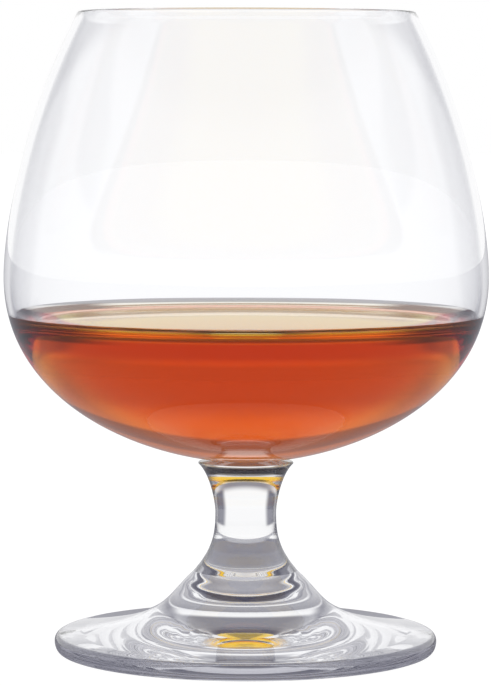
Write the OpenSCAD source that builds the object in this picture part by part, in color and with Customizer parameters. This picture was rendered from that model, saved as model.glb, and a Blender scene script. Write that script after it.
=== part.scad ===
// Brandy snifter: a footed glass with a short stem, a wide belly and a narrower mouth,
// holding a measure of brandy. Every piece is turned about the Z axis.
// The foot stands on Z = 0. All sizes are in millimetres.

/* [Bowl] */
// Outer diameter at the widest place
bowl_d = 83.2; // [72:0.2:100]
// Height of the belly, from the stem to the widest place
belly_h = 31.5; // [27:0.1:38]
// Height of the shoulder, from the widest place to the rim
shoulder_h = 45.5; // [36:0.1:54]
// Outer diameter of the mouth
mouth_d = 58; // [46:0.2:64]
// Glass thickness of the upper belly, the shoulder and the rim
wall_t = 1.2; // [0.8:0.1:2]
// Glass thickness at the bottom of the bowl
base_t = 3; // [2:0.1:5]
// Rise of the bowl's underside where it leaves the stem, in degrees
belly_rise = 6.3; // [4:0.1:12]
// Inward lean of the wall where it reaches the rim, in degrees
rim_lean = 28; // [20:1:34]

/* [Stem] */
// Height of the stem, from the foot to the bowl
stem_h = 19.2; // [15:0.1:60]
// Diameter of the seat on the stem's top, where the bowl is fused to it
seat_d = 10; // [8:0.2:13]
// Diameter of the lip that the stem's top flares out to, under the bowl
lip_d = 16.4; // [14:0.2:22]
// Thickness of the lip at its edge
lip_t = 0.4; // [0.3:0.1:1]
// How far the lip's edge hangs below the seat
lip_drop = 0.3; // [0.1:0.1:0.8]
// Diameter of the waist
waist_d = 10.5; // [8:0.1:13]
// Height of the waist above the foot
waist_h = 10; // [7:0.1:12]
// Spread of the stem where it reaches the lip, in degrees from upright
lip_flare = 47; // [30:1:60]
// Spread of the stem where it meets the foot, in degrees from upright
joint_flare = 39; // [20:1:44]

/* [Foot] */
// Outer diameter of the foot
foot_d = 66; // [58:0.1:80]
// Height of the foot, from the table to the stem
foot_h = 13.8; // [11:0.1:17]
// Diameter of the foot's top, where the stem stands
joint_d = 17.7; // [15:0.1:21]
// Thickness of the foot's edge
edge_t = 3; // [2.4:0.1:4]
// Height of the edge's widest line above the table
edge_line_h = 1.8; // [1.2:0.1:2.2]
// Width of the edge's rounding
edge_round = 1; // [0.6:0.1:1.8]
// Slope of the foot's top near the edge, in degrees
foot_slope = 9; // [6:1:13]
// Spread of the foot's top where it meets the stem, in degrees from upright
foot_flare = 47; // [36:1:52]
// Width of the flat ring that the foot stands on
ring_w = 4; // [2:0.5:8]
// Height of the hollow under the foot
hollow_h = 1.4; // [0.6:0.1:2.4]

/* [Brandy] */
// Depth of the brandy in the middle of the bowl
fill_h = 20.9; // [14:0.1:30]
// How far the brandy climbs the glass at its edge
climb_h = 1.8; // [0.8:0.1:2.4]
// How quickly the climb dies away from the glass
climb_l = 1.7; // [1:0.1:2.5]
// Clearance between the brandy and the bowl, in which it turns
brandy_gap = 0.2; // [0.1:0.05:0.4]

/* [Hidden] */
$fn = 128;

glass_tint = [0.86, 0.88, 0.93, 0.4];
brandy_tint = [0.80, 0.33, 0.08, 0.85];

seat_z = foot_h + stem_h;          // the stem's top, under the bowl
belly_z = seat_z + belly_h;        // the widest place
rim_z = belly_z + shoulder_h;      // the top of the glass

seat_edge = [seat_d / 2, seat_z];
lip_centre = [(lip_d - lip_t) / 2, seat_z - lip_drop - lip_t / 2];
belly_edge = [bowl_d / 2, belly_z];
joint_edge = [joint_d / 2, foot_h];
waist_edge = [waist_d / 2, foot_h + waist_h];
edge_top = [foot_d / 2 - edge_round, edge_t];

// How far each curve keeps its first and last direction, as shares of its own height or width
belly_pull = [0.41, 0.62];
shoulder_pull = [0.20, 0.42];
stem_top_pull = [0.24, 0.27];
stem_foot_pull = [0.42, 0.46];
foot_pull = [0.82, 0.36];

curve_steps = 24;
round_steps = 8;

// A direction in the profile, as degrees up from straight outwards
function heading(angle) = [cos(angle), sin(angle)];

// The unit vector on the left of a direction, which points into the bowl on a curve that goes up
function left_of(v) = [-v.y, v.x] / norm(v);

// A cubic curve from its four control points: the point at share t, and the direction there
function curve_at(c, t) =
    pow(1 - t, 3) * c[0] + 3 * t * pow(1 - t, 2) * c[1] + 3 * t * t * (1 - t) * c[2] + pow(t, 3) * c[3];
function curve_way(c, t) =
    pow(1 - t, 2) * (c[1] - c[0]) + 2 * t * (1 - t) * (c[2] - c[1]) + t * t * (c[3] - c[2]);

// Points along a curve, moved to its left by a depth that eases from its first to its last value
function along(c, first_depth = 0, last_depth = 0) = [
    for (i = [0:curve_steps])
        let (t = i / curve_steps, depth = last_depth + (first_depth - last_depth) * pow(1 - t, 2))
            curve_at(c, t) + depth * left_of(curve_way(c, t))
];

// Points on an ellipse's arc
function oval(centre, across, up, from, to) = [
    for (i = [0:round_steps])
        let (a = from + (to - from) * i / round_steps)
            centre + [across * cos(a), up * sin(a)]
];

// A dish from the axis out to a point, where it has the given slope
function dish(end, slope) = [
    for (i = [0:round_steps - 1])
        let (a = slope * i / round_steps, r = end.x / sin(slope))
            [r * sin(a), end.y + r * (cos(slope) - cos(a))]
];

// The bowl's outer wall, from the stem to the widest place and on to the rim
rim_way = heading(90 + rim_lean);
rim_centre = [mouth_d / 2 - wall_t / 2, rim_z - wall_t / 2];
rim_edge = rim_centre - left_of(rim_way) * wall_t / 2;
belly_curve = [
    seat_edge,
    seat_edge + heading(belly_rise) * belly_pull[0] * bowl_d / 2,
    belly_edge - [0, belly_pull[1] * belly_h],
    belly_edge
];
shoulder_curve = [
    belly_edge,
    belly_edge + [0, shoulder_pull[0] * shoulder_h],
    rim_edge - rim_way * shoulder_pull[1] * shoulder_h,
    rim_edge
];

// The bowl's inside, or a surface that stands off it by a gap, from the axis up to the rim
function inside(gap = 0) =
    let (belly = along(belly_curve, base_t + gap, wall_t + gap),
         shoulder = along(shoulder_curve, wall_t + gap, wall_t + gap))
        concat(dish(belly[0], belly_rise), belly, [for (i = [1:curve_steps]) shoulder[i]]);

module bowl() {
    outside = concat(along(belly_curve), [for (i = [1:curve_steps]) along(shoulder_curve)[i]]);
    rim = oval(rim_centre, wall_t / 2, wall_t / 2, rim_lean, rim_lean + 180);
    inner = inside();
    color(glass_tint)
        rotate_extrude()
            polygon(concat(
                [[0, seat_z]],
                outside,
                [for (i = [1:round_steps - 1]) rim[i]],
                [for (i = [len(inner) - 1:-1:0]) inner[i]]
            ));
}

module stem() {
    lower = [
        joint_edge,
        joint_edge + heading(90 + joint_flare) * stem_foot_pull[0] * waist_h,
        waist_edge - [0, stem_foot_pull[1] * waist_h],
        waist_edge
    ];
    lip = oval(lip_centre, lip_t / 2, lip_t / 2, -lip_flare, 90);
    upper = [
        waist_edge,
        waist_edge + [0, stem_top_pull[0] * (stem_h - waist_h)],
        lip[0] - heading(90 - lip_flare) * stem_top_pull[1] * (stem_h - waist_h),
        lip[0]
    ];
    color(glass_tint)
        rotate_extrude()
            polygon(concat(
                [[0, foot_h]],
                along(lower),
                [for (i = [1:curve_steps]) along(upper)[i]],
                [for (i = [1:round_steps]) lip[i]],
                [seat_edge, [0, seat_z]]
            ));
}

module foot() {
    ring_outer_r = foot_d / 2 - edge_round;
    ring_inner_r = ring_outer_r - ring_w;
    hollow = [
        for (i = [0:curve_steps])
            let (r = ring_inner_r * i / curve_steps)
                [r, hollow_h * (1 - pow(r / ring_inner_r, 2))]
    ];
    edge_under = oval([ring_outer_r, edge_line_h], edge_round, edge_line_h, -90, 0);
    edge_over = oval([ring_outer_r, edge_line_h], edge_round, edge_t - edge_line_h, 0, 90);
    top = [
        edge_top,
        edge_top + heading(180 - foot_slope) * foot_pull[0] * (foot_d - joint_d) / 2,
        joint_edge - heading(90 + foot_flare) * foot_pull[1] * (foot_d - joint_d) / 2,
        joint_edge
    ];
    color(glass_tint)
        rotate_extrude()
            polygon(concat(
                hollow,
                edge_under,
                [for (i = [1:round_steps - 1]) edge_over[i]],
                along(top),
                [[0, foot_h]]
            ));
}

module brandy() {
    wall = inside(brandy_gap);
    level = inside()[0].y + fill_h;
    contact_z = level + climb_h;
    contact_r = lookup(contact_z, [for (p = wall) [p.y, p.x]]);
    // The surface is flat in the middle and curls up the glass, with its points closer together there
    surface = [
        for (i = [0:curve_steps])
            let (from_wall = contact_r * pow(i / curve_steps, 2))
                [contact_r - from_wall, level + climb_h * exp(-from_wall / climb_l)]
    ];
    color(brandy_tint)
        rotate_extrude()
            polygon(concat(
                [for (p = wall) if (p.y < contact_z - 0.05) p],
                surface
            ));
}

bowl();
stem();
foot();
brandy();
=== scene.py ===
"""Brandy snifter: turned clear glass with a measure of brandy in it, on a plain white studio floor.

Sizes of the glass are in millimetres, and become metres where a mesh is made.
"""
from math import cos, exp, pi, radians, sin

import bpy
from mathutils import Matrix, Vector


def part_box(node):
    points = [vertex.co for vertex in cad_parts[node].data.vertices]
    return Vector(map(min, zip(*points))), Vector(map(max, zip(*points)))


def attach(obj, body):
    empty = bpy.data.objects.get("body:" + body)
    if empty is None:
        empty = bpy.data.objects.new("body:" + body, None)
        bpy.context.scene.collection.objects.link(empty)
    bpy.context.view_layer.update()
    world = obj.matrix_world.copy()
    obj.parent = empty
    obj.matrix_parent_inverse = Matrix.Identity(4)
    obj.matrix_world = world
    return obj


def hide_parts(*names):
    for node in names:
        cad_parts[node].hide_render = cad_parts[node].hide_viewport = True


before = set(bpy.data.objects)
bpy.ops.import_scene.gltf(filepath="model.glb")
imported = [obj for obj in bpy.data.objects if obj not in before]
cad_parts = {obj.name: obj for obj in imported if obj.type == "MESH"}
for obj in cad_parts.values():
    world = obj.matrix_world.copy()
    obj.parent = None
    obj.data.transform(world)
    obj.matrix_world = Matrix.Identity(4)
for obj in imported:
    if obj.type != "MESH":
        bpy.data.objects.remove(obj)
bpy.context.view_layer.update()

MM = 0.001

# ---------------------------------------------------------------- sizes of the glass, in mm and degrees
FOOT_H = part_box("stem")[0].z / MM           # the foot's top, where the stem stands
SEAT_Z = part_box("bowl")[0].z / MM           # the stem's top, where the bowl sits
RIM_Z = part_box("bowl")[1].z / MM            # the top of the rim
STEM_H = SEAT_Z - FOOT_H
BELLY_H = 31.5                              # from the stem up to the widest place
SHOULDER_H = RIM_Z - SEAT_Z - BELLY_H       # from the widest place up to the rim
BOWL_R = 83.2 / 2                           # at the widest place
MOUTH_R = 58.0 / 2                          # at the rim's outer side
WALL = 1.2                                  # the bowl's thickness from the widest place up
BASE = 3.0                                  # and at its bottom
BELLY_RISE = 6.3                            # the slope of its underside where it leaves the stem
RIM_LEAN = 28.0                             # the inward lean of its wall at the rim
SEAT_R = 10.0 / 2                           # the seat, where the bowl is fused to the stem
LIP_R = 16.4 / 2                            # the lip that the stem's top flares out to
LIP_T = 0.4
LIP_DROP = 0.3                              # how far the lip hangs below the seat
WAIST_R = 10.5 / 2                          # the stem's narrowest place
WAIST_H = 10.0                              # its height above the foot
LIP_FLARE = 47.0                            # the stem's spread from upright at the lip
JOINT_FLARE = 39.0                          # and at the foot
JOINT_R = 17.7 / 2                          # where the stem stands on the foot
FOOT_R = 66.0 / 2
EDGE_T = 3.0                                # the thickness of the foot's edge
EDGE_LINE_H = 1.8                           # the height of the edge's widest line
EDGE_ROUND = 1.0                            # the width of the edge's rounding
FOOT_SLOPE = 9.0                            # the slope of the foot's top near the edge
FOOT_FLARE = 47.0                           # its spread from upright where it meets the stem
RING_W = 4.0                                # the flat ring that the foot stands on
HOLLOW_H = 1.4                              # the height of the hollow inside that ring
FILL_H = 20.9                               # the brandy's depth in the middle of the bowl
CLIMB_H = 1.8                               # how far the brandy climbs the wall
CLIMB_L = 1.7                               # how quickly the climb dies away from the wall
WETTING = 0.006                             # how far the brandy's skin is set into the wall it wets
RIPPLE = 0.02                               # the height of the faint rings round the foot's top
RIPPLE_STEP = 1.9                           # from ring to ring
RIPPLE_REACH = 5.0                          # how far above and below the foot's top they go

# How far each curve keeps its first and last direction, as shares of its own height or width
BELLY_PULL = (0.41, 0.62)
SHOULDER_PULL = (0.20, 0.42)
STEM_TOP_PULL = (0.24, 0.27)
STEM_FOOT_PULL = (0.42, 0.46)
FOOT_PULL = (0.82, 0.36)

# ---------------------------------------------------------------- how finely the pieces are turned
TURNS = 256                                 # facets round the axis
BELLY_STEPS = 72                            # facets along each stretch of the profiles
SHOULDER_STEPS = 48
DISH_STEPS = 24
RIM_STEPS = 16
STEM_FOOT_STEPS = 64
STEM_TOP_STEPS = 40
LIP_STEPS = 10
FOOT_STEPS = 112
EDGE_STEPS = 12
HOLLOW_STEPS = 48
SURFACE_STEPS = 64
DOUBLES = 0.0005 * MM                       # points nearer than this are one
NEAR = 0.01                                 # in mm: what is nearer to a place than this lies on it
EDGE_ANGLE = 25.0                           # in degrees: edges sharper than this stay sharp


# ---------------------------------------------------------------- curves of the turned profiles
def at(r, z):
    return Vector((r, z))


def heading(angle):
    """A direction in the profile, as degrees up from straight outwards."""
    return at(cos(radians(angle)), sin(radians(angle)))


def left_of(way):
    """The unit vector on the left of a direction, which points into the bowl on a curve that goes up."""
    return at(-way.y, way.x).normalized()


def curve(corners, steps, first_depth=0.0, last_depth=0.0):
    """Points on a cubic curve, moved to its left by a depth that eases from first to last."""
    a, b, c, d = corners
    points = []
    for i in range(steps + 1):
        t = i / steps
        u = 1 - t
        place = u ** 3 * a + 3 * t * u * u * b + 3 * t * t * u * c + t ** 3 * d
        way = u * u * (b - a) + 2 * t * u * (c - b) + t * t * (d - c)
        depth = last_depth + (first_depth - last_depth) * u * u
        points.append(place + left_of(way) * depth)
    return points


def ripple(points):
    """The faint rings left round the glass where the stem was drawn out of the foot."""
    rings = []
    for point in points:
        near = max(0.0, 1 - abs(point.y - FOOT_H) / RIPPLE_REACH)
        wave = RIPPLE * near * sin(2 * pi * (point.y - FOOT_H) / RIPPLE_STEP)
        rings.append(point + at(wave, 0))
    return rings


def oval(centre, across, up, first, last, steps):
    """Points on an ellipse's arc, from one angle to another."""
    angles = [radians(first + (last - first) * i / steps) for i in range(steps + 1)]
    return [centre + at(across * cos(a), up * sin(a)) for a in angles]


def dish(end, slope, steps):
    """A round dish from the axis out to a point, where it has the given slope."""
    radius = end.x / sin(radians(slope))
    angles = [radians(slope * i / steps) for i in range(steps)]
    return [at(radius * sin(a), end.y + radius * (cos(radians(slope)) - cos(a))) for a in angles]


def cut_at(points, z):
    """A rising profile in two, below and above a height, each with the point at that height."""
    for i, (low, high) in enumerate(zip(points, points[1:])):
        if low.y < z < high.y:
            cut = low.lerp(high, (z - low.y) / (high.y - low.y))
            return points[:i + 1] + [cut], [cut] + points[i + 1:]
    raise ValueError(f"the profile doesn't pass {z} mm")


SEAT = at(SEAT_R, SEAT_Z)
LIP_CENTRE = at(LIP_R - LIP_T / 2, SEAT_Z - LIP_DROP - LIP_T / 2)
BELLY = at(BOWL_R, SEAT_Z + BELLY_H)
JOINT = at(JOINT_R, FOOT_H)
WAIST = at(WAIST_R, FOOT_H + WAIST_H)
RIM_WAY = heading(90 + RIM_LEAN)
RIM_CENTRE = at(MOUTH_R - WALL / 2, RIM_Z - WALL / 2)
RIM_EDGE = RIM_CENTRE - left_of(RIM_WAY) * WALL / 2

BELLY_CURVE = (
    SEAT,
    SEAT + heading(BELLY_RISE) * BELLY_PULL[0] * BOWL_R,
    BELLY - at(0, BELLY_PULL[1] * BELLY_H),
    BELLY,
)
SHOULDER_CURVE = (
    BELLY,
    BELLY + at(0, SHOULDER_PULL[0] * SHOULDER_H),
    RIM_EDGE - RIM_WAY * SHOULDER_PULL[1] * SHOULDER_H,
    RIM_EDGE,
)


def inside(set_in=0.0):
    """The bowl's inner wall from the axis up to the rim, or a surface set into the wall."""
    belly = curve(BELLY_CURVE, BELLY_STEPS, BASE - set_in, WALL - set_in)
    shoulder = curve(SHOULDER_CURVE, SHOULDER_STEPS, WALL - set_in, WALL - set_in)
    return dish(belly[0], BELLY_RISE, DISH_STEPS) + belly + shoulder[1:]


LEVEL = inside()[0].y + FILL_H
CONTACT_Z = LEVEL + CLIMB_H


# ---------------------------------------------------------------- turning a profile into a piece
def turn(name, profile):
    """A closed piece turned from a profile that starts and ends on the axis: one point is
    extruded along the profile, and the line is swept about the axis."""
    bpy.ops.object.select_all(action="DESELECT")
    bpy.ops.mesh.primitive_plane_add(size=MM, location=(0, 0, 0))
    piece = bpy.context.object
    piece.name = name
    bpy.ops.object.mode_set(mode="EDIT")
    bpy.ops.mesh.select_all(action="SELECT")
    bpy.ops.mesh.merge(type="CENTER")
    bpy.ops.transform.translate(value=(profile[0].x * MM, 0, profile[0].y * MM))
    for here, there in zip(profile, profile[1:]):
        step = (there - here) * MM
        bpy.ops.mesh.extrude_vertices_move(TRANSFORM_OT_translate={"value": (step.x, 0, step.y)})
    bpy.ops.object.mode_set(mode="OBJECT")
    lathe = piece.modifiers.new("lathe", "SCREW")
    lathe.steps = lathe.render_steps = TURNS
    lathe.use_merge_vertices = True
    lathe.merge_threshold = DOUBLES
    bpy.ops.object.modifier_apply(modifier=lathe.name)
    bpy.ops.object.mode_set(mode="EDIT")
    bpy.ops.mesh.select_all(action="SELECT")
    bpy.ops.mesh.remove_doubles(threshold=DOUBLES)
    bpy.ops.mesh.normals_make_consistent(inside=False)
    bpy.ops.object.mode_set(mode="OBJECT")
    bpy.ops.object.shade_smooth_by_angle(angle=radians(EDGE_ANGLE))
    return piece


def radius_of(place):
    return (place.x ** 2 + place.y ** 2) ** 0.5 / MM


def on(value, place):
    return abs(value - place) < NEAR


def paint(piece, *materials):
    for material in materials:
        piece.data.materials.append(material)


def seam_faces(piece, belongs):
    """Gives the faces that belong, by the height of their middle in mm and by how far up they face,
    the piece's second material, the seam."""
    for face in piece.data.polygons:
        if belongs(face.center.z / MM, face.normal.z):
            face.material_index = 1


def crease(piece, belongs):
    """Keeps the shading apart along the edges that belong, by their ends' radius and height in mm."""
    corners = piece.data.vertices
    for edge in piece.data.edges:
        if all(belongs(radius_of(corners[v].co), corners[v].co.z / MM) for v in edge.vertices):
            edge.use_edge_sharp = True


# ---------------------------------------------------------------- shader maths
class Value:
    """An output of a node. Sums written on it add Math nodes."""

    def __init__(self, nodes, socket):
        self.nodes = nodes
        self.socket = socket

    def __add__(self, other):
        return self.nodes.math("ADD", self, other)

    __radd__ = __add__

    def __sub__(self, other):
        return self.nodes.math("SUBTRACT", self, other)

    def __rsub__(self, other):
        return self.nodes.math("SUBTRACT", other, self)

    def __mul__(self, other):
        return self.nodes.math("MULTIPLY", self, other)

    __rmul__ = __mul__

    def __truediv__(self, other):
        return self.nodes.math("DIVIDE", self, other)

    def __abs__(self):
        return self.nodes.math("ABSOLUTE", self)


class Nodes:
    """The nodes of one material or world."""

    def __init__(self, owner):
        owner.use_nodes = True
        self.tree = owner.node_tree
        self.tree.nodes.clear()

    def add(self, kind, settings, *values, out=0, **named):
        """Adds a node with its settings and its sockets' values, in order or by name, and returns one of
        its outputs."""
        node = self.tree.nodes.new(kind)
        for key, setting in settings.items():
            setattr(node, key, setting)
        pairs = list(zip(node.inputs, values))
        pairs += [(self.socket(node.inputs, key), value) for key, value in named.items()]
        for socket, value in pairs:
            if isinstance(value, Value):
                self.tree.links.new(value.socket, socket)
            else:
                socket.default_value = value
        return Value(self, self.socket(node.outputs, out)) if node.outputs else None

    def socket(self, sockets, key):
        """A socket by its place, its name or its identifier."""
        if isinstance(key, int):
            return sockets[key]
        same = [socket for socket in sockets if key in (socket.identifier, socket.name.replace(" ", "_"))]
        return same[0]

    def math(self, operation, *values):
        return self.add("ShaderNodeMath", {"operation": operation}, *values)

    def smooth(self, value, low, high):
        """0 below low, 1 above high, with an eased step between them."""
        return self.add("ShaderNodeMapRange", {"interpolation_type": "SMOOTHSTEP"}, value, low, high)

    def rise(self, value, *steps):
        """Eased steps on top of each other, each with its own height and the low and high of its range."""
        return sum(height * self.smooth(value, low, high) for height, low, high in steps)

    def band(self, value, rise, fall):
        """1 between two ranges, with an eased step up over the first and down over the second."""
        return self.smooth(value, *rise) * (1 - self.smooth(value, *fall))

    def parts(self, vector):
        """The x, y and z of a vector."""
        split = self.add("ShaderNodeSeparateXYZ", {}, vector)
        return [Value(self, socket) for socket in split.socket.node.outputs]

    def place(self):
        """The x, y and z of a place on the piece, in metres."""
        return self.parts(self.add("ShaderNodeTexCoord", {}, out="Object"))

    def edge_on(self):
        """0 where the surface faces whoever looks at it, up to 1 where it is seen edge on."""
        return self.add("ShaderNodeLayerWeight", {}, out="Facing", Blend=0.5)

    def light_path(self, fact):
        return self.add("ShaderNodeLightPath", {}, out=fact)

    def blend(self, share, dark, light):
        """A colour between two."""
        return self.add(
            "ShaderNodeMix", {"data_type": "RGBA"},
            out="Result_Color", Factor_Float=share, A_Color=dark, B_Color=light,
        )


def new_material(name):
    material = bpy.data.materials.new(name)
    return material, Nodes(material)


# ---------------------------------------------------------------- materials
GLASS_IOR = 1.52
BRANDY_IOR = 1.36
WHITE = (1.0, 1.0, 1.0, 1)

# The painted shade of the glass, in mm
UNDER_LIP = (-2.3, -1.9), (-0.9, -0.6)      # heights from the seat, where the painted shade on the flare comes and goes
AT_RIM = (-0.8, -0.5)                       # radii from the foot's own, where the painted shade on the rim comes in

# The brandy. Its skin's tints are painted shade, and come in and go out over two ranges of the height over
# its level, in mm
AMBER = (0.996, 0.855, 0.033, 1)            # its body
STRENGTH = 150.0                            # the amber's density, per metre
GLEAM = (0.97, 0.86, 0.78, 1)               # the tint of what its top mirrors
DEEP_SHADE = (0.66, 0.47, 0.38, 1)                # painted shade in the middle of the measure
DEEP_BAND = (-14.62, -9.62), (-4.62, -2.62)
DEEP_TURN = (0.215, 0.31)                   # it fades out as the skin is seen edge on
ROSY_SHADE = (0.85, 0.48, 0.45, 1)                # redder painted shade from there up to the level
ROSY_BAND = (-4.62, -2.62), (-0.82, -0.42)
BROWN_SHADE = (0.52, 0.40, 0.32, 1)               # browner painted shade in the line of the level
BROWN_BAND = (-0.52, -0.22), (0.08, 0.38)
DARK_SHADE = (0.30, 0.22, 0.20, 1)                # darker painted shade round that line, at the sides
DARK_BAND = (-1.42, -0.92), (0.88, 1.38)
DARK_TURN = (0.09, 0.17)                    # it comes in as the skin is seen edge on


def clear_glass(name, face, edge, edge_shade_range, gleam, painted_shade=None, where=None):
    """Polished glass, with the faint tint that it shows face on and painted shade that darkens it where it
    is seen edge on. The gleam tints what it mirrors, so light that is mirrored many times inside it comes
    out darker.
    Where the mask says, by radius and height in mm, darker painted shade is blended in."""
    material, nodes = new_material(name)
    tint = nodes.blend(nodes.smooth(nodes.edge_on(), *edge_shade_range), face, edge)
    if where:
        x, y, z = nodes.place()
        radius = nodes.math("SQRT", x * x + y * y) / MM
        tint = nodes.blend(where(nodes, radius, z / MM), tint, painted_shade)
    surface = nodes.add(
        "ShaderNodeBsdfPrincipled", {},
        Base_Color=tint, Roughness=0.0, IOR=GLASS_IOR, Transmission_Weight=1.0, Specular_Tint=gleam,
    )
    nodes.add("ShaderNodeOutputMaterial", {}, Surface=surface)
    return material


def under_lip(nodes, radius, height):
    """The stem's flare, just under its lip, where shade is painted."""
    return nodes.band(height - SEAT_Z, *UNDER_LIP)


def at_rim(nodes, radius, height):
    """The foot's rounded edge, where shade is painted."""
    return nodes.smooth(radius - FOOT_R, *AT_RIM)


def seam():
    """Where two masses of the glass are fused, or the brandy wets the wall, there is nothing to see."""
    material, nodes = new_material("seam")
    surface = nodes.add("ShaderNodeBsdfTransparent", {}, Color=WHITE)
    nodes.add("ShaderNodeOutputMaterial", {}, Surface=surface)
    return material


def wetted_skin(nodes, tint):
    """The brandy's skin on the glass, where light bends by less than it does at the air."""
    return nodes.add("ShaderNodeBsdfGlass", {}, Color=tint, Roughness=0.0, IOR=BRANDY_IOR / GLASS_IOR)


def amber_brandy():
    """Brandy that meets the air on top and the glass all round. Its skin there is painted with shade: deeper
    in the middle of the measure, redder from that up to the level, browner in the line of the level itself
    and dark where that line turns away at the sides."""
    material, nodes = new_material("amber_brandy")
    _, _, z = nodes.place()
    height = z / MM - LEVEL
    edge_on = nodes.edge_on()
    skin = wetted_skin(nodes, WHITE)
    # painted shade on the wetted skin, band by band
    for share, tint in (
        (nodes.band(height, *DEEP_BAND) * (1 - nodes.smooth(edge_on, *DEEP_TURN)), DEEP_SHADE),
        (nodes.band(height, *ROSY_BAND), ROSY_SHADE),
        (nodes.band(height, *BROWN_BAND), BROWN_SHADE),
        (nodes.band(height, *DARK_BAND) * nodes.smooth(edge_on, *DARK_TURN), DARK_SHADE),
    ):
        skin = nodes.add("ShaderNodeMixShader", {}, share, skin, wetted_skin(nodes, tint))
    top = nodes.add(
        "ShaderNodeBsdfPrincipled", {},
        Base_Color=WHITE, Roughness=0.0, IOR=BRANDY_IOR, Transmission_Weight=1.0, Specular_Tint=GLEAM,
    )
    open_top = nodes.add("ShaderNodeAttribute", {"attribute_name": "open_top"}, out="Fac")
    skin = nodes.add("ShaderNodeMixShader", {}, open_top, skin, top)
    body = nodes.add("ShaderNodeVolumeAbsorption", {}, Color=AMBER, Density=STRENGTH)
    nodes.add("ShaderNodeOutputMaterial", {}, Surface=skin, Volume=body)
    return material


# The edge tints are painted shade, which darkens each piece where it is seen edge on.
BOWL_GLASS = clear_glass(
    "thin_glass",
    face=(0.988, 0.991, 1.0, 1), edge=(0.905, 0.908, 0.93, 1), edge_shade_range=(0.15, 0.90),
    gleam=(0.82, 0.82, 0.86, 1),
)
# The stem's and foot's last tints are darker painted shade, under the stem's lip and on the foot's rim.
STEM_GLASS = clear_glass(
    "stem_glass",
    face=(0.985, 0.987, 0.995, 1), edge=(0.10, 0.10, 0.12, 1), edge_shade_range=(0.40, 0.75),
    gleam=(0.62, 0.62, 0.67, 1), painted_shade=(0.05, 0.045, 0.045, 1), where=under_lip,
)
FOOT_GLASS = clear_glass(
    "foot_glass",
    face=(0.975, 0.98, 1.0, 1), edge=(0.93, 0.93, 0.97, 1), edge_shade_range=(0.3, 0.9),
    gleam=(0.76, 0.76, 0.81, 1), painted_shade=(0.32, 0.32, 0.38, 1), where=at_rim,
)
SEAM = seam()
BRANDY = amber_brandy()


# ---------------------------------------------------------------- the four pieces
def make_bowl():
    outside = curve(BELLY_CURVE, BELLY_STEPS) + curve(SHOULDER_CURVE, SHOULDER_STEPS)[1:]
    rim = oval(RIM_CENTRE, WALL / 2, WALL / 2, RIM_LEAN, RIM_LEAN + 180, RIM_STEPS)
    wetted, dry = cut_at(inside(), CONTACT_Z)
    piece = turn("glass_bowl", [at(0, SEAT_Z)] + outside + rim[1:-1] + dry[::-1] + wetted[-2::-1])
    crease(piece, lambda r, z: on(r, SEAT_R) and on(z, SEAT_Z))
    paint(piece, BOWL_GLASS, SEAM)
    seam_faces(piece, lambda z, up: on(z, SEAT_Z) or (up > 0 and z < CONTACT_Z))
    return piece


def make_stem():
    lower = curve((
        JOINT,
        JOINT + heading(90 + JOINT_FLARE) * STEM_FOOT_PULL[0] * WAIST_H,
        WAIST - at(0, STEM_FOOT_PULL[1] * WAIST_H),
        WAIST,
    ), STEM_FOOT_STEPS)
    lip = oval(LIP_CENTRE, LIP_T / 2, LIP_T / 2, -LIP_FLARE, 90, LIP_STEPS)
    upper = curve((
        WAIST,
        WAIST + at(0, STEM_TOP_PULL[0] * (STEM_H - WAIST_H)),
        lip[0] - heading(90 - LIP_FLARE) * STEM_TOP_PULL[1] * (STEM_H - WAIST_H),
        lip[0],
    ), STEM_TOP_STEPS)
    top = [SEAT, at(0, SEAT_Z)]
    piece = turn("glass_stem", [at(0, FOOT_H)] + ripple(lower) + upper[1:] + lip[1:] + top)
    paint(piece, STEM_GLASS, SEAM)
    seam_faces(piece, lambda z, up: on(z, SEAT_Z) or on(z, FOOT_H))
    return piece


def make_foot():
    ring_outer = FOOT_R - EDGE_ROUND
    ring_inner = ring_outer - RING_W
    radii = [ring_inner * i / HOLLOW_STEPS for i in range(HOLLOW_STEPS + 1)]
    hollow = [at(r, HOLLOW_H * (1 - (r / ring_inner) ** 2)) for r in radii]
    edge = at(ring_outer, EDGE_LINE_H)
    under = oval(edge, EDGE_ROUND, EDGE_LINE_H, -90, 0, EDGE_STEPS)
    over = oval(edge, EDGE_ROUND, EDGE_T - EDGE_LINE_H, 0, 90, EDGE_STEPS)
    reach = FOOT_R - JOINT_R
    top = curve((
        over[-1],
        over[-1] + heading(180 - FOOT_SLOPE) * FOOT_PULL[0] * reach,
        JOINT - heading(90 + FOOT_FLARE) * FOOT_PULL[1] * reach,
        JOINT,
    ), FOOT_STEPS)
    piece = turn("glass_foot", hollow + under + over[1:-1] + ripple(top) + [at(0, FOOT_H)])
    paint(piece, FOOT_GLASS, SEAM)
    seam_faces(piece, lambda z, up: on(z, FOOT_H))
    return piece


def make_brandy():
    skin, _ = cut_at(inside(WETTING), CONTACT_Z)
    contact_r = skin[-1].x
    away = [contact_r * (i / SURFACE_STEPS) ** 2 for i in range(SURFACE_STEPS + 1)]
    surface = [at(contact_r - a, LEVEL + CLIMB_H * exp(-a / CLIMB_L)) for a in away]
    piece = turn("brandy_measure", skin + surface[1:])
    paint(piece, BRANDY)
    open_top = piece.data.attributes.new("open_top", "FLOAT", "FACE")
    for face in piece.data.polygons:
        open_top.data[face.index].value = 1.0 if face.normal.z > 0 else 0.0
    return piece


for make, node, body, finish in (
    (make_bowl, "bowl", "glass", "clear_glass"),
    (make_stem, "stem", "glass", "clear_glass"),
    (make_foot, "foot", "glass", "clear_glass"),
    (make_brandy, "brandy", "drink", "brandy"),
):
    piece = make()
    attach(piece, body)
    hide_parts(node)


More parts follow.
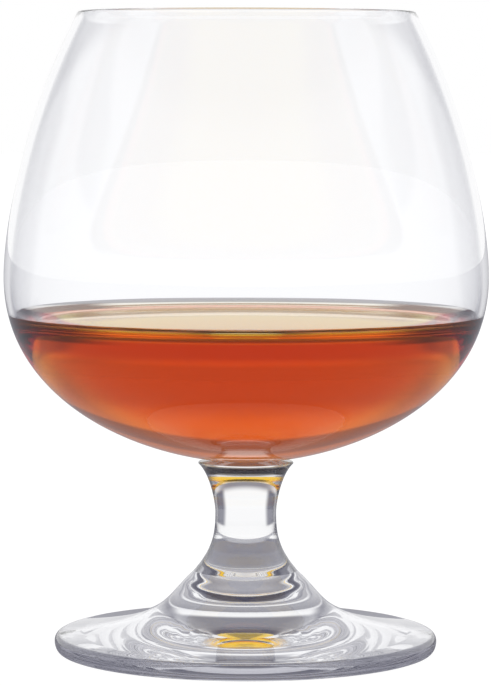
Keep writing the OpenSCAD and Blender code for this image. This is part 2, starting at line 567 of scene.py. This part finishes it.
# ---------------------------------------------------------------- studio
SHADE = (0.09, 0.09, 0.14, 1)               # its dark places, which only the glass finds
SOLID_CROSSINGS = 0.5                       # light through the stem, the foot or one wall crosses 2 surfaces
BOWL_CROSSINGS = 3.5                        # and light through both walls of the bowl 4 or more

# Where its corners begin, by the sine of twice the angle from straight ahead, and its far side, by
# the angle's cosine
CORNER = (0.80, 0.97)
AHEAD = (0.55, 0.95)

# The floor's light, with its painted shadow round the foot, by distance from the axis in mm. A step has its
# share of the light and its range
FLOOR_W = 8000.0
FLOOR_DROP = 0.05                           # how far it lies under the glass
GLOW = 0.97                                 # the strength of its own light
MATT = (0.1, 0.1, 0.1, 1)                   # what it gives back of the sky's light, where the shadow shows
MIRRORED = 0.2                              # the share of its light that the glass mirrors
SEEN_THROUGH = 0.97                         # and the share that is seen through it
UNDER_FOOT = 0.14                           # the light of the painted shadow under the middle of the foot
FROM_FOOT = (0.22, 10.0, 26.0), (0.64, 31.0, 38.0)      # what is added further out, where the painted shadow lightens
FLOOR_BEHIND = (0.0, 40.0)                  # where the part behind the glass begins, along y
STRIPS = (0.85, 70.0, 90.0)                 # what the strips to the far corners take of it
ARC = 0.65                                  # what the arc behind takes of it
ARC_CORNER = 0.15                           # and how much more in the far corners
ARC_START = (155.0, 170.0)
ARC_END = (222.0, 245.0)
ARC_NEARER = 55.0, 30.0                     # how much nearer its start and its end come in the corners

# The sky's dark, by the sine of the height. A step has its share of the dark and its range
SKY_BEHIND = (-0.3, 0.3)                    # where the part behind the glass begins, along y
GAPS = 0.9                                  # in the far corners, for the stem and foot
GAPS_TOP = (0.25, 0.35)
CEILING = (0.8, 0.20, 0.34)                 # ahead, for the stem and foot
OVERHEAD = (0.9, 0.50, 0.66)                # all round, for the stem and foot
LOW = (0.3, 0.03, 0.06), (0.42, 0.10, 0.20)             # straight ahead, for the bowl
LOW_WIDTH = (0.7, 1.0)                      # by how much it lies ahead
FLANKS = 0.6                                # on both sides of that, for the bowl
FLANKS_WIDTH = (0.15, 0.5), (0.85, 1.0)
FLANKS_HEIGHT = (0.07, 0.12), (0.30, 0.40)


def around(nodes, x, y):
    """How far a place or direction goes along the floor, and how much it lies towards a corner."""
    level = x * x + y * y
    return nodes.math("SQRT", level), nodes.smooth(abs(2 * x * y / level), *CORNER)


def crossings(nodes):
    """Whether light crossed as few surfaces as the solid stem or foot has, and whether as many as
    both walls of the bowl have."""
    depth = nodes.light_path("Transmission_Depth")
    bowl = nodes.math("GREATER_THAN", depth, BOWL_CROSSINGS)
    return nodes.math("GREATER_THAN", depth, SOLID_CROSSINGS) - bowl, bowl


def make_floor():
    """White all over to the eye, with a faint shadow. The glass finds its glow painted with a shadow under
    and close round the foot. The stem and foot also find two dark strips to the far corners, and the bowl a
    dark arc."""
    bpy.ops.object.select_all(action="DESELECT")
    bpy.ops.mesh.primitive_plane_add(size=FLOOR_W * MM, location=(0, 0, -FLOOR_DROP * MM))
    floor = bpy.context.object
    floor.name = "floor"
    material, nodes = new_material("white_floor")
    x, y, _ = nodes.place()
    length, corner = around(nodes, x, y)
    from_axis = length / MM
    behind = nodes.smooth(y / MM, *FLOOR_BEHIND)
    solid, bowl = crossings(nodes)
    strips = nodes.rise(from_axis, STRIPS) * corner * behind * solid
    start, end = (from_axis + nearer * corner for nearer in ARC_NEARER)
    arc = nodes.smooth(start, *ARC_START) * (1 - nodes.smooth(end, *ARC_END)) * behind * bowl
    # painted shadow under and round the foot, in the glow that the glass finds
    light = UNDER_FOOT + nodes.rise(from_axis, *FROM_FOOT)
    light = light * (1 - strips) * (1 - (ARC + ARC_CORNER * corner) * arc)
    found = light * (MIRRORED + (SEEN_THROUGH - MIRRORED) * nodes.light_path("Is_Transmission_Ray"))
    share = nodes.math("MAXIMUM", found, nodes.light_path("Is_Camera_Ray"))
    glow = nodes.add("ShaderNodeEmission", {}, Color=nodes.blend(share, SHADE, WHITE), Strength=GLOW)
    matt = nodes.add("ShaderNodeBsdfDiffuse", {}, Color=MATT)
    nodes.add("ShaderNodeOutputMaterial", {}, Surface=nodes.add("ShaderNodeAddShader", {}, glow, matt))
    paint(floor, material)


def make_world():
    """A white studio to the eye. The bowl finds it dimmer low ahead and on both sides of that. The stem
    and foot find a dark gap in each far corner, and a dark ceiling ahead and overhead."""
    world = bpy.data.worlds.new("studio")
    bpy.context.scene.world = world
    nodes = Nodes(world)
    x, y, up = nodes.parts(nodes.add("ShaderNodeTexCoord", {}, out="Generated"))
    length, corner = around(nodes, x, y)
    ahead = nodes.smooth(y / length, *AHEAD)
    behind = nodes.smooth(y, *SKY_BEHIND)
    solid, bowl = crossings(nodes)
    gaps = GAPS * corner * behind * (1 - nodes.smooth(up, *GAPS_TOP))
    ceiling = nodes.rise(up, CEILING) * ahead
    overhead = nodes.rise(up, OVERHEAD)
    low = nodes.rise(up, *LOW) * nodes.smooth(ahead, *LOW_WIDTH)
    flanks = FLANKS * nodes.band(ahead, *FLANKS_WIDTH) * nodes.band(up, *FLANKS_HEIGHT)
    dark = 1 - (1 - gaps) * (1 - ceiling) * (1 - overhead)
    dim = 1 - (1 - low) * (1 - flanks)
    found = 1 - dark * solid - dim * bowl
    share = nodes.math("MAXIMUM", found, nodes.light_path("Is_Camera_Ray"))
    sky = nodes.add("ShaderNodeBackground", {}, Color=nodes.blend(share, SHADE, WHITE), Strength=1.0)
    nodes.add("ShaderNodeOutputWorld", {}, Surface=sky)


make_floor()
make_world()

BOUNCES = 32                                # light is mirrored many times inside the solid glass
cycles = bpy.context.scene.cycles
cycles.max_bounces = cycles.transmission_bounces = BOUNCES
cycles.glossy_bounces = cycles.transparent_max_bounces = BOUNCES

# ---------------------------------------------------------------- camera, at the photograph's view
FRAME_H = 686                               # the photograph's longer side, in pixels
FOCAL_PX = 3410.0                           # the lens's focal length, in pixels of the photograph
SENSOR = 36.0                               # the sensor's longer side, in mm
DISTANCE = 0.585                            # from the glass's axis along the floor, in metres
EYE_H = 0.098                               # above the floor, in metres
PITCH = 4.383                               # how far it looks down, in degrees
ROLL = 0.12                                 # how far it is turned about its line of sight, in degrees
ASIDE = -0.0001                             # how far it stands to the right of the glass, in metres

camera_data = bpy.data.cameras.new("camera")
camera_data.sensor_width = SENSOR
camera_data.lens = FOCAL_PX / FRAME_H * SENSOR
camera = bpy.data.objects.new("camera", camera_data)
bpy.context.scene.collection.objects.link(camera)
camera.matrix_world = (
    Matrix.Translation((ASIDE, -DISTANCE, EYE_H))
    @ Matrix.Rotation(radians(90 - PITCH), 4, "X")
    @ Matrix.Rotation(radians(ROLL), 4, "Z")
)
bpy.context.scene.camera = camera
bpy.context.scene.view_settings.view_transform = "Standard"
